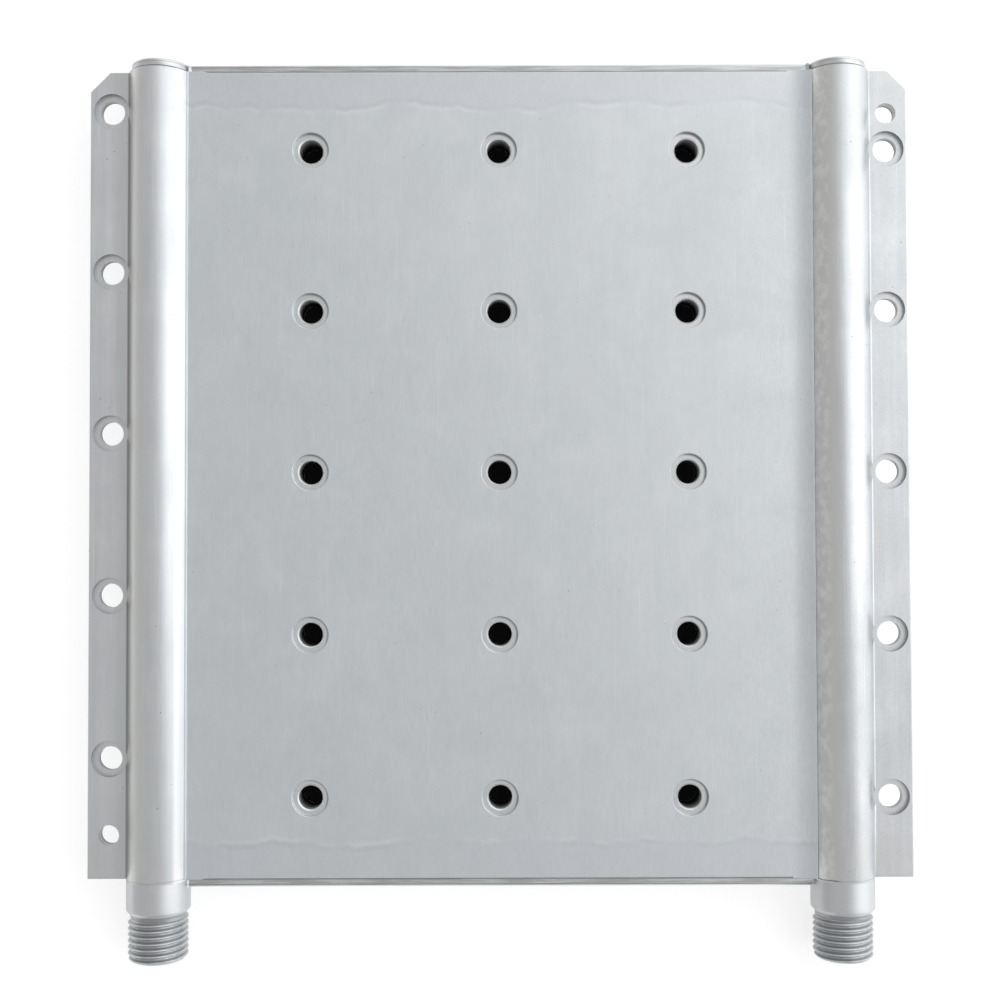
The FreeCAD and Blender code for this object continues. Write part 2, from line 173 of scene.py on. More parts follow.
def bareAluminium(name, extra=None, **changes):
    look = {**aluminium, **changes}
    material = bpy.data.materials.new(name)
    material.use_nodes = True
    tree = material.node_tree
    shader = tree.nodes["Principled BSDF"]
    place = tree.nodes.new("ShaderNodeTexCoord").outputs["Object"]
    away = (look["seed"] * 3.1, look["seed"] * 1.7, look["seed"] * 2.3)

    grainStretch = stretchFor(look["grainAxis"], look["grainAcross"], look["grainAlong"])
    streakStretch = stretchFor(look["grainAxis"], look["grainAcross"] * 9, look["grainAlong"] * 7)
    grain = noise(tree, place, 1, grainStretch, 2, 0.6, away)
    streak = noise(tree, place, 1, streakStretch, 3, 0.55, away)
    blotch = noise(tree, place, 1 / (look["blotchSize"] * mm), (1, 1, 1), 5, 0.6, away, 0.6)
    cloudSize = look["blotchSize"] * look["cloudShare"]
    cloud = noise(tree, place, 1 / (cloudSize * mm), (1, 0.7, 1), 4, 0.6, away)
    fine = noise(tree, place, 1 / (look["fineSize"] * mm), (1, 1, 1), 3, 0.65, away)

    colour = addNodeMix(tree, calc(tree, "MULTIPLY", ramp(tree, blotch, 0.42, 0.7), look["blotch"]),
                        look["colour"], look["stain"])
    colour = addNodeMix(tree, calc(tree, "MULTIPLY", ramp(tree, cloud, 0.5, 0.72), look["blotch"] * 0.5),
                        colour, look["cloud"])
    brightness = 1.0
    for pattern, share in ((grain, look["grain"]), (streak, look["streak"]), (fine, look["mottle"]),
                           (cloud, look["mottle"])):
        brightness = calc(tree, "MULTIPLY_ADD", calc(tree, "SUBTRACT", pattern, 0.5), share * 2, brightness)

    # pin-head pits and bright nicks
    dots = addNode(tree, "ShaderNodeTexVoronoi", {"Vector": place, "Scale": 1 / (look["speckSpacing"] * mm),
                                                  "Randomness": 1.0})
    tiny = calc(tree, "LESS_THAN", dots.outputs["Distance"], look["speckRadius"])
    patches = noise(tree, place, 1 / (look["speckPatch"] * mm), (1, 1, 1), 2, 0.5, (away[1], 5.0, away[0]))
    pits = calc(tree, "MULTIPLY", tiny, ramp(tree, patches, 0.58, 0.66))
    brightness = calc(tree, "SUBTRACT", brightness, calc(tree, "MULTIPLY", pits, look["speck"] * 0.55))

    # a few long handling scratches at odd angles
    narrow, long = 1 / (look["scratchWidth"] * mm), 1 / (look["scratchLength"] * mm)
    turned = addNode(tree, "ShaderNodeMapping", {
        "Vector": place, "Rotation": (0.0, 0.0, look["scratchTurn"] + look["seed"]),
        "Scale": (narrow, long, long)})
    scratchNoise = addNode(tree, "ShaderNodeTexNoise", {"Vector": turned.outputs[0], "Scale": 1.0,
                                                        "Detail": 0.0})
    scratch = ramp(tree, scratchNoise.outputs["Fac"], 0.79, 0.83)
    brightness = calc(tree, "ADD", brightness, calc(tree, "MULTIPLY", scratch, look["scratch"] * 0.35))

    colour = dimmed(tree, colour, brightness)
    rough = calc(tree, "ADD", look["roughness"], swing(tree, grain, 0.22))
    rough = calc(tree, "ADD", rough, swing(tree, blotch, 0.25))
    height = calc(tree, "ADD", calc(tree, "MULTIPLY", grain, 0.6), calc(tree, "MULTIPLY", fine, 0.4))
    height = calc(tree, "SUBTRACT", height, calc(tree, "MULTIPLY", pits, 1.5))
    height = calc(tree, "SUBTRACT", height, calc(tree, "MULTIPLY", scratch, 0.8))

    parts = {"tree": tree, "place": place, "colour": colour, "rough": rough, "height": height,
             "cloud": cloud}
    if extra:
        extra(parts)
    bump = addNode(tree, "ShaderNodeBump", {"Height": parts["height"],
                                            "Distance": look["bumpHeight"] * mm})
    bump.inputs["Strength"].default_value = look["bump"]
    shader.inputs["Metallic"].default_value = 1.0
    tree.links.new(parts["colour"], shader.inputs["Base Color"])
    rough = calc(tree, "MAXIMUM", parts["rough"], look["leastRoughness"])
    tree.links.new(rough, shader.inputs["Roughness"])
    tree.links.new(bump.outputs[0], shader.inputs["Normal"])
    return material


# places that every piece shares, read from the frame

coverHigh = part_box("cover_sheet")[1]
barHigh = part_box("closing_bar_top")[1]
rightLow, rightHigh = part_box("header_right")
spigotLow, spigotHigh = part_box("spigot_right")
tubeRadius = (rightHigh.z - rightLow.z) / 2
tubeAxisX = rightLow.x + tubeRadius
tubeAxisZ = rightLow.z + tubeRadius
tubeEnd = rightHigh.y
frontZ = coverHigh.z
print("shared places read: tube axis", round(tubeAxisX / mm, 2), "mm out")


# edge softening: a merged copy of a piece gets the small radius that deburring leaves

softening = {
    "weld": 0.002,                         # mm, corners nearer than this are one
    "straighten": 0.6,                     # degrees, edges flatter than this go
    "bevelAngle": 28,                      # degrees, sharper edges are rounded
    "bevelSteps": 2,
    "square": 0.99999,                     # how straight along an axis a flat face points
    "sideArea": 4,                         # mm2, smaller side faces stay smooth
    "skin": 0.08,                          # mm, how near the tube's radius its skin lies
    "bore": (0.6, 0.78),                   # of the tube's radius
}


def softened(nodeName, width):
    source = nodes[nodeName]
    mesh = source.data.copy()
    work = bmesh.new()
    work.from_mesh(mesh)
    bmesh.ops.remove_doubles(work, verts=work.verts, dist=softening["weld"] * mm)
    bmesh.ops.dissolve_limit(work, angle_limit=math.radians(softening["straighten"]),
                             verts=work.verts, edges=work.edges)
    work.to_mesh(mesh)
    work.free()
    piece = addObject(nodeName + "_finished", mesh)
    bevel = piece.modifiers.new("deburr", "BEVEL")
    bevel.width = width * mm
    bevel.segments = softening["bevelSteps"]
    bevel.limit_method = "ANGLE"
    bevel.angle_limit = math.radians(softening["bevelAngle"])
    bevel.use_clamp_overlap = True
    applyModifiers(piece)
    return piece


def applyModifiers(piece):
    depsgraph = bpy.context.evaluated_depsgraph_get()
    mesh = bpy.data.meshes.new_from_object(piece.evaluated_get(depsgraph))
    piece.modifiers.clear()
    piece.data = mesh


def shadeByAngle(piece, angle=35):
    mesh = piece.data
    mesh.shade_smooth()
    mesh.set_sharp_from_angle(angle=math.radians(angle))
    for face in mesh.polygons:
        flat = max(abs(part) for part in face.normal) > softening["square"]
        if flat and not onTube(face.center):
            if abs(face.normal.z) > 0.9 or face.area > softening["sideArea"] * mm * mm:
                face.use_smooth = False


def onTube(place):
    away = math.hypot(abs(place.x) - tubeAxisX, place.z - tubeAxisZ)
    low, high = softening["bore"]
    return abs(away - tubeRadius) < softening["skin"] * mm or tubeRadius * low < away < tubeRadius * high


def besideTube(tree, axes):
    onRight = calc(tree, "GREATER_THAN", axes["X"], 0.0)
    nearest = calc(tree, "MULTIPLY_ADD", onRight, 2 * tubeAxisX, -tubeAxisX)
    return onRight, calc(tree, "SUBTRACT", axes["X"], nearest)


def coat(piece, material):
    piece.data.materials.clear()
    piece.data.materials.append(material)


def finishPiece(piece, material, slotName, *replaced):
    coat(piece, material)
    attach(piece, "root")
    if replaced:
        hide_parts(*replaced)


# front sheet and its bars: drawn sheet with heat tint along the brazed edges

coverLook = {
    "heatLine": 81.3,                      # mm from the middle, where the braze heat stopped
    "heatWidth": 0.75,
    "wander": 1.6,                         # mm
    "waveLength": 11,
    "lineFade": (5, 45),                   # mm right of the middle, where the line grows weaker
    "beyond": (0.72, 0.745, 0.79, 1),      # faint lavender film past that line
    "line": (0.86, 0.885, 0.90, 1),
    "smudge": (0.60, 0.62, 0.635, 1),
    "marks": 0.085,                        # fine dressing marks by the right header, past the heat line
    "markSize": 0.42,
    "dressed": (38, 62),                   # mm right of the middle, from none to full
    "smudgeAt": 1.1,                       # mm past the line
    "smudgeWidth": 0.9,
}


def heatTint(parts):
    tree = parts["tree"]
    axes = splitPlace(tree, parts["place"])
    wave = noise(tree, parts["place"], 1 / (coverLook["waveLength"] * mm), (1, 0.2, 1), 3, 0.55)
    shift = swing(tree, wave, coverLook["wander"] * 4 * mm)
    along = calc(tree, "ADD", calc(tree, "ABSOLUTE", axes["Y"]), shift)
    past = calc(tree, "SUBTRACT", along, coverLook["heatLine"] * mm)
    line = fade(tree, calc(tree, "ABSOLUTE", past), (0.0, coverLook["heatWidth"]))
    patchy = ramp(tree, parts["cloud"], 0.42, 0.58, 0.12, 1.0)
    leftwards = fade(tree, axes["X"], coverLook["lineFade"], 1.0, 0.3)
    beyond = ramp(tree, past, 0.0, 1.0 * mm)
    tint(parts, calc(tree, "MULTIPLY", beyond, 0.4), coverLook["beyond"])
    tint(parts, product(tree, line, patchy, leftwards, 0.5), coverLook["line"])
    offUnder = calc(tree, "ABSOLUTE", calc(tree, "SUBTRACT", past, coverLook["smudgeAt"] * mm))
    under = fade(tree, offUnder, (0.0, coverLook["smudgeWidth"]))
    tint(parts, product(tree, under, patchy, 0.25), coverLook["smudge"])
    marks = noise(tree, parts["place"], 1 / (coverLook["markSize"] * mm), (1, 0.3, 1), 3, 0.75)
    rightwards = fade(tree, axes["X"], coverLook["dressed"], 0.0, 1.0)
    dressed = calc(tree, "MAXIMUM", rightwards, calc(tree, "MULTIPLY", beyond, 0.8))
    level = calc(tree, "MULTIPLY_ADD", calc(tree, "SUBTRACT", marks, 0.5),
                 calc(tree, "MULTIPLY", dressed, coverLook["marks"] * 2), 1.0)
    parts["colour"] = dimmed(tree, parts["colour"], level)


ledgeLook = {
    "innerWidth": 1.3,                     # mm, rough band of braze beside the sheet's edge
    "innerSoft": 0.15,
    "streakSize": 0.5,
    "wander": 0.35,
    "groove": (0.02, 0.22),                # mm either side of the band's outer edge
    "foot": (0.12, 0.34),                  # mm out from the sheet's edge, painted shadow that the sheet's edge casts on the bar
    "rough": (0.50, 0.505, 0.50, 1),
    "dark": (0.26, 0.265, 0.27, 1),
}


def ledgeStreaksAndShadow(parts):
    tree = parts["tree"]
    axes = splitPlace(tree, parts["place"])
    reach = calc(tree, "SUBTRACT", calc(tree, "ABSOLUTE", axes["Y"]), coverHigh.y)
    streaks = noise(tree, parts["place"], 1 / (ledgeLook["streakSize"] * mm), (0.05, 1, 1), 3, 0.65)
    edge = calc(tree, "ADD", reach, swing(tree, streaks, ledgeLook["wander"] * mm))
    width = ledgeLook["innerWidth"] * mm
    inner = ramp(tree, edge, width, width + ledgeLook["innerSoft"] * mm, 1.0, 0.0)
    band = calc(tree, "MULTIPLY", inner, ramp(tree, streaks, 0.38, 0.62, 0.85, 0.1))
    tint(parts, band, ledgeLook["rough"])
    # painted shadow: the bar is painted darker just beside the sheet's edge, where the sheet shades it; a
    # darker line also runs along the braze band's outer edge
    fromGroove = calc(tree, "ABSOLUTE", calc(tree, "SUBTRACT", edge, width))
    groove = fade(tree, fromGroove, ledgeLook["groove"])
    foot = fade(tree, reach, ledgeLook["foot"])
    shade = calc(tree, "MAXIMUM", calc(tree, "MULTIPLY", groove, 0.55), calc(tree, "MULTIPLY", foot, 0.75))
    tint(parts, shade, ledgeLook["dark"])
    parts["height"] = calc(tree, "ADD", parts["height"], product(tree, inner, streaks, 6.0))


coverMaterial = bareAluminium("drawn_sheet", heatTint, seed=1)
backMaterial = bareAluminium("rolled_back_sheet", seed=2, grainAcross=0.3, grainAlong=25,
                             roughness=0.42)
barMaterial = bareAluminium("sawn_bar", ledgeStreaksAndShadow, seed=3, grainAxis="X", bump=0.25, roughness=0.38,
                            colour=(0.78, 0.80, 0.815, 1))

cover = softened("cover_sheet", 0.19)
shadeByAngle(cover)
finishPiece(cover, coverMaterial, "sheets", "cover_sheet")
for barName in ("closing_bar_top", "closing_bar_bottom"):
    bar = softened(barName, 0.1)
    shadeByAngle(bar)
    finishPiece(bar, barMaterial, "bars", barName)
coat(nodes["back_sheet"], backMaterial)
print("sheets and bars finished")


# bolt bosses: a painted highlight ring on top, a painted shadow in the recess's corner, and painted shade
# darkening the wall inside the hole

bossLook = {
    "holeRadius": 2.665,                   # mm, just inside the deburred rim
    "wallTop": (0.85, 0.86, 0.86, 1),
    "wallDeep": (0.06, 0.062, 0.065, 1),
    "wallFade": 7.0,                       # mm down to where the wall goes dark
    "rim": 2.97,
    "bright": (0.99, 0.99, 0.99, 1),
    "recess": 3.98,
    "recessShadow": (0.34, 0.345, 0.355, 1),
    "recessShadowSide": (0.8, 0.6),             # direction in which the painted shadow is heaviest
    "pitchX": 42,
    "pitchY": 36,
}


def boreWall(parts):
    tree = parts["tree"]
    axes = splitPlace(tree, parts["place"])
    off = []
    for axis, pitch in (("X", bossLook["pitchX"]), ("Y", bossLook["pitchY"])):
        steps = calc(tree, "ROUND", calc(tree, "DIVIDE", axes[axis], pitch * mm))
        off.append(calc(tree, "SUBTRACT", axes[axis], calc(tree, "MULTIPLY", steps, pitch * mm)))
    radius = distance(tree, *off)
    inside = calc(tree, "LESS_THAN", radius, bossLook["holeRadius"] * mm)
    # painted shade: the hole's wall is painted from light near the top to near-black deep down
    depth = ramp(tree, axes["Z"], frontZ - bossLook["wallFade"] * mm, frontZ - 0.6 * mm)
    wall = addNodeMix(tree, depth, bossLook["wallDeep"], bossLook["wallTop"])
    # painted shadow in the recess's corner, heaviest on the upper right, where the recess's wall blocks the
    # light
    aimed = [calc(tree, "MULTIPLY", *pair) for pair in zip(off, bossLook["recessShadowSide"])]
    upRight = calc(tree, "DIVIDE", calc(tree, "ADD", *aimed), radius)
    reach = calc(tree, "MULTIPLY", ramp(tree, upRight, -0.1, 0.75), 0.5 * mm)
    corner = ramp(tree, calc(tree, "ADD", radius, reach), (bossLook["recess"] - 0.12) * mm,
                  (bossLook["recess"] + 0.42) * mm)
    tint(parts, calc(tree, "MULTIPLY", corner, 0.95), bossLook["recessShadow"])
    # painted highlight: a near-white ring just outside the hole, where the chamfer catches the light
    rim = calc(tree, "LESS_THAN", radius, bossLook["rim"] * mm)
    tint(parts, calc(tree, "MULTIPLY", rim, 0.9), bossLook["bright"])
    parts["rough"] = calc(tree, "ADD", parts["rough"], calc(tree, "MULTIPLY", rim, 0.1))
    tint(parts, inside, wall)
    parts["rough"] = calc(tree, "ADD", parts["rough"], calc(tree, "MULTIPLY", inside, 0.25))


bossMaterial = bareAluminium("turned_boss", boreWall, seed=4, grain=0.05, roughness=0.34,
                             colour=(0.80, 0.825, 0.835, 1))
finMaterial = bareAluminium("folded_fin_sheet", seed=5, grainAxis="X")
for name, piece in nodes.items():
    if name.startswith("boss_"):
        coat(piece, bossMaterial)
coat(nodes["fin_pad"], finMaterial)
print("bosses and fins coated")


# headers: extruded, so every line runs along the tube

headerLook = {
    "edge": 0.18,
    "colour": (0.74, 0.76, 0.78, 1),
    "flank": (0.735, 0.73, 0.715, 1),      # painted shade: each tube's left flank, its shaded side, painted warmer and a little darker
    "curl": (0.90, 0.895, 0.88, 1),        # braze skin on the right tube's flank, uneven and curled
    "curlSize": 1.5,
    "rightFlankHighlight": (0.93, 0.94, 0.95, 1),       # painted highlight: the left tube's right flank, painted bright
    "earShade": (0.52, 0.535, 0.545, 1),   # painted shade: the left ear darkens towards its tube, which shades it
    "cornerShade": (0.40, 0.405, 0.41, 1),       # painted shade in the corner along the ear
    # painted shade inside the ear holes, from the deep wall to the mouth
    "holeShadeDeep": (0.12, 0.122, 0.125, 1),
    "holeShadeMouth": (0.42, 0.425, 0.43, 1),
    "hole": (2.8, 1.3),                    # mm below the front, where its wall is darkest and lightest
    "flankFade": (-3.2, -0.8),             # mm across from the tube's axis, as the next two
    "curlFade": (-4.4, -2.6),
    "rightFlankHighlightFade": (4.1, 5.0),
    "cornerIn": (-1.7, -0.1),              # mm out from the corner
    "cornerOut": (0.1, 0.4),
    "seam": 0.9,                           # mm, how far the weld seam wanders
    "seamWave": 5,
    "seamAt": 0.5,                         # mm from the tube's end
    "seamFade": (0.04, 0.25),
    "seamOpen": (-3.0, -1.6),              # mm from the axis, where the right tube's seam gapes
    "seamDark": (0.2, 0.2, 0.2, 1),
    "capJoint": (0.13, 0.13, 0.135, 1),
    "capFade": (0.16, 0.5),
    "heat": (79, 81),                      # mm from the middle, from none to full
    "heatStain": (0.58, 0.58, 0.565, 1),
}


# real weld seam, cap joint and heat stain, plus painted light: shade on the tubes' left flanks, a highlight
# on the left tube's right flank, shade across the left ear, in its corner and down the ear holes
def headerWearAndPaintedLight(parts):
    tree, look = parts["tree"], headerLook
    axes = splitPlace(tree, parts["place"])
    aside = calc(tree, "ABSOLUTE", axes["X"])
    onRight, fromAxis = besideTube(tree, axes)
    # painted shade on each tube's left flank
    flank = calc(tree, "MULTIPLY", fade(tree, fromAxis, look["flankFade"]),
                 calc(tree, "LESS_THAN", calc(tree, "ABSOLUTE", fromAxis), tubeRadius))
    tint(parts, calc(tree, "MULTIPLY", flank, 0.85), look["flank"])
    curls = noise(tree, parts["place"], 1 / (look["curlSize"] * mm), (1, 0.6, 1), 4, 0.62)
    tint(parts, product(tree, fade(tree, fromAxis, look["curlFade"]),
                        ramp(tree, curls, 0.42, 0.60, 0.0, 0.6), flank, onRight), look["curl"])
    # painted highlight on the left tube's right flank
    rightFlankHighlight = product(tree, fade(tree, fromAxis, look["rightFlankHighlightFade"], 0.0, 1.0),
                     calc(tree, "LESS_THAN", fromAxis, 7 * mm),
                     calc(tree, "MULTIPLY_ADD", onRight, -1.0, 1.0))
    tint(parts, rightFlankHighlight, look["rightFlankHighlight"])
    # painted shade across the left ear, darker towards its tube
    onLeftEar = calc(tree, "LESS_THAN", axes["X"], -tubeAxisX - tubeRadius * 0.99)
    acrossEar = ramp(tree, aside, tubeAxisX + 7.2 * mm, tubeAxisX + 11 * mm, 0.3, 0.0)
    tint(parts, calc(tree, "MULTIPLY", acrossEar, onLeftEar), look["earShade"])
    # painted shade in the corner where the ear meets the tube, stronger on the left
    out = calc(tree, "SUBTRACT", aside, tubeAxisX + tubeRadius * 0.93)
    foot = product(tree, fade(tree, out, look["cornerIn"], 0.0, 1.0), fade(tree, out, look["cornerOut"]),
                   calc(tree, "MULTIPLY_ADD", onRight, -0.55, 0.8))
    tint(parts, foot, look["cornerShade"])
    # weld seam at the threaded end, ground nearly flush
    wave = noise(tree, parts["place"], 1 / (look["seamWave"] * mm), (1, 0.3, 1), 3, 0.6)
    along = calc(tree, "ADD", axes["Y"], swing(tree, wave, look["seam"] * mm))
    off = calc(tree, "ABSOLUTE", calc(tree, "SUBTRACT", along, rightLow.y + look["seamAt"] * mm))
    seam = fade(tree, off, look["seamFade"])
    opened = calc(tree, "MULTIPLY", onRight, fade(tree, fromAxis, look["seamOpen"], 0.65))
    tint(parts, calc(tree, "MULTIPLY", seam, calc(tree, "ADD", opened, 0.25)), look["seamDark"])
    # cap joint at the other end
    fromEnd = calc(tree, "SUBTRACT", tubeEnd, axes["Y"])
    tint(parts, fade(tree, fromEnd, look["capFade"], 0.95), look["capJoint"])
    # weld heat near both ends
    nearEnd = fade(tree, calc(tree, "ABSOLUTE", axes["Y"]), look["heat"], 0.0, 1.0)
    tint(parts, product(tree, nearEnd, ramp(tree, parts["cloud"], 0.46, 0.60), 0.2), look["heatStain"])
    # painted shade on the drilled walls in the ears, darkest deep down
    normal = splitPlace(tree, tree.nodes.new("ShaderNodeNewGeometry").outputs["True Normal"])
    wall = calc(tree, "MULTIPLY", calc(tree, "LESS_THAN", calc(tree, "ABSOLUTE", normal["Z"]), 0.35),
                calc(tree, "GREATER_THAN", aside, tubeAxisX + tubeRadius + 0.3 * mm))
    height = ramp(tree, axes["Z"], *(frontZ - depth * mm for depth in look["hole"]))
    tint(parts, wall, addNodeMix(tree, height, look["holeShadeDeep"], look["holeShadeMouth"]))


for side, seed in (("left", 6), ("right", 7)):
    nodeName = "header_" + side
    header = softened(nodeName, headerLook["edge"])
    shadeByAngle(header)
    material = bareAluminium("extruded_header_" + side, headerWearAndPaintedLight, seed=seed,
                             grainAcross=0.22, grainAlong=10, streak=0.085,
                             mottle=0.07 if side == "left" else 0.13, speck=0.8, scratch=0.45,
                             roughness=0.44, colour=headerLook["colour"])
    finishPiece(header, material, "headers", nodeName)
print("headers finished")


# turned ends: caps and threaded ports

turnedLook = {
    "crest": 6.5785,                       # mm, thread radius over the crests
    "depth": 0.856,
    "threadFrom": 6.9,                     # mm past the header's end
    "root": (0.24, 0.243, 0.25, 1),        # painted shade: dark lines on the thread's flanks
    "capStep": (0.30, 0.305, 0.31, 1),
    "shaded": (0.38, 0.385, 0.395, 1),     # painted shade on the ports' left side and, lighter, on their right edge
    "shadedLeft": (-6.9, -3.2),            # mm across from the axis
    "shadedRight": (5.2, 6.9),
    "flankShadeAt": 0.4,                         # mm above the thread's root
    "flankShadeFade": (0.06, 0.36),
    "stepFade": (0.02, 0.25),
    "toolLine": 0.42,                      # share of the cap's length, from its outer end
    "toolLineFade": (0.03, 0.14),
}


# real cap step and tool line, plus painted shade on the ports' sides and the thread's flanks
def turnedWearAndPaintedShade(parts):
    tree, look = parts["tree"], turnedLook
    axes = splitPlace(tree, parts["place"])
    side = besideTube(tree, axes)[1]
    radius = distance(tree, side, calc(tree, "SUBTRACT", axes["Z"], tubeAxisZ))
    low = (look["crest"] - look["depth"]) * mm
    fromFlank = calc(tree, "ABSOLUTE", calc(tree, "SUBTRACT", radius, low + look["flankShadeAt"] * mm))
    flankShade = fade(tree, fromFlank, look["flankShadeFade"], 0.55, 0.05)
    # painted shade: the ports' left side, and lighter their right edge, are painted darker
    shaded = calc(tree, "ADD", fade(tree, side, look["shadedLeft"], 0.6),
                  fade(tree, side, look["shadedRight"], 0.0, 0.3))
    tint(parts, shaded, look["shaded"])
    threaded = calc(tree, "LESS_THAN", axes["Y"], rightLow.y - look["threadFrom"] * mm)
    tint(parts, calc(tree, "MULTIPLY", flankShade, threaded), look["root"])
    pastEnd = calc(tree, "SUBTRACT", axes["Y"], tubeEnd)
    step = product(tree, ramp(tree, radius, tubeRadius - 1.0 * mm, tubeRadius - 0.6 * mm, 1.0, 0.0),
                   fade(tree, pastEnd, look["stepFade"], 0.7),
                   calc(tree, "GREATER_THAN", axes["Y"], 0.0))
    tint(parts, step, look["capStep"])
    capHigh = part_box("end_cap_right")[1].y
    lineAt = capHigh - look["toolLine"] * (capHigh - tubeEnd)
    offLine = calc(tree, "ABSOLUTE", calc(tree, "SUBTRACT", axes["Y"], lineAt))
    tint(parts, fade(tree, offLine, look["toolLineFade"], 0.6), look["capStep"])


turnedMaterial = bareAluminium("turned_end", turnedWearAndPaintedShade, seed=8, grainAxis="X", grainAcross=0.12,
                               grainAlong=12, blotch=0.3, roughness=0.40, bump=0.06,
                               colour=(0.70, 0.717, 0.732, 1))
for side in ("left", "right"):
    cap = softened("end_cap_" + side, 0.12)
    shadeByAngle(cap)
    finishPiece(cap, turnedMaterial, "turned_ends", "end_cap_" + side)
print("caps finished")


# threaded ports: turned as one profile, then the thread is rolled in

portLook = {
    "segments": 160,
    "pitch": 1.337,         # mm
    "bore": 4.25,
    "boreBevel": 0.35,
    "plug": 5.15,           # radius of the part inside the header
    "relief": 6.1,
    "shoulder": 6.6,
    "shoulderBevel": 0.9,
    "reliefLength": 0.4,
    "endBevel": 1.3,
    "noseShare": 0.92,      # how much of a quarter circle rounds the thread's end
    "noseDrop": 1.25,
    "noseFlat": 0.25,
    "round": 0.25,          # deburred shoulder edge
    "roundSteps": 3,
    "wallSteps": 6,
    "step": 0.075,          # mm between rings along the thread
    "rollEarly": 0.15,      # the roll starts this far past the bevel
    "rollDepth": 1.9,       # below the crest, what the roll leaves alone
    "sharpness": 0.93,      # 1 gives straight flanks and sharp crests
    "runIn": 0.4,           # of a pitch
}


def portProfile():
    look = portLook
    crest, relief, bore = turnedLook["crest"], look["relief"], look["bore"]
    length = (rightLow.y - spigotLow.y) / mm
    plugIn = (spigotHigh.y - rightLow.y) / mm
    outer = tubeRadius / mm
    bevelEnd = look["shoulder"] + look["shoulderBevel"]
    threadStart = bevelEnd + look["reliefLength"] + crest - relief
    threadEnd = length - look["endBevel"]
    inner = range(1, look["wallSteps"])
    profile = [(bore, -plugIn), (look["plug"], -plugIn), (look["plug"], 0), (outer, 0)]
    profile += [(outer, look["shoulder"] * step / look["wallSteps"]) for step in inner]
    for turn in range(look["roundSteps"] + 1):
        angle = turn / look["roundSteps"] * math.pi / 4
        profile.append((outer - look["round"] * (1 - math.cos(angle)),
                        look["shoulder"] - look["round"] * (1 - math.sin(angle))))
    profile += [(relief + 0.05, bevelEnd), (relief, bevelEnd + 0.1),
                (relief, bevelEnd + look["reliefLength"])]
    threaded = threadEnd - threadStart
    count = round(threaded / look["step"])
    profile += [(crest, threadStart + threaded * step / count) for step in range(count + 1)]
    count = round(look["endBevel"] / look["step"])
    for step in range(1, count + 1):
        along = step / count
        dip = (1 - math.sqrt(1 - (along * look["noseShare"]) ** 2)) * look["noseDrop"]
        profile.append((crest - look["endBevel"] * dip, threadEnd + look["endBevel"] * along))
    tip = profile[-1][0]
    profile += [(tip - look["noseFlat"], length), (bore + look["boreBevel"], length),
                (bore, length - look["boreBevel"])]
    profile += [(bore, length * (1 - step / look["wallSteps"])) for step in inner]
    return profile


def turnedMesh(name, profile, centreX, startY, segments):
    work = bmesh.new()
    rings = []
    for turn in range(segments):
        angle = 2 * math.pi * turn / segments
        rings.append([work.verts.new((centreX + radius * mm * math.cos(angle), startY - along * mm,
                                      tubeAxisZ + radius * mm * math.sin(angle)))
                      for radius, along in profile])
    for turn in range(segments):
        here, there = rings[turn], rings[(turn + 1) % segments]
        for step in range(len(profile)):
            ahead = (step + 1) % len(profile)
            work.faces.new((here[step], here[ahead], there[ahead], there[step]))
    bmesh.ops.recalc_face_normals(work, faces=work.faces)
    mesh = bpy.data.meshes.new(name)
    work.to_mesh(mesh)
    work.free()
    return addObject(name, mesh)


def startGroup(name, measures, counts=()):
    tree = bpy.data.node_groups.new(name, "GeometryNodeTree")
    face = tree.interface
    face.new_socket("Geometry", in_out="INPUT", socket_type="NodeSocketGeometry")
    for label in measures:
        face.new_socket(label, in_out="INPUT", socket_type="NodeSocketFloat")
    for label in counts:
        face.new_socket(label, in_out="INPUT", socket_type="NodeSocketInt")
    face.new_socket("Material", in_out="INPUT", socket_type="NodeSocketMaterial")
    face.new_socket("Geometry", in_out="OUTPUT", socket_type="NodeSocketGeometry")
    return tree, tree.nodes.new("NodeGroupInput").outputs


def finishGroup(tree, geometry, given):
    real = addNode(tree, "GeometryNodeRealizeInstances", {"Geometry": geometry})
    coated = addNode(tree, "GeometryNodeSetMaterial", {"Geometry": real.outputs[0],
                                                       "Material": given["Material"]})
    out = tree.nodes.new("NodeGroupOutput")
    tree.links.new(coated.outputs[0], out.inputs[0])
    return tree


def setInputs(modifier, values):
    for item in modifier.node_group.interface.items_tree:
        if item.item_type == "SOCKET" and item.in_out == "INPUT" and item.name in values:
            modifier[item.identifier] = values[item.name]


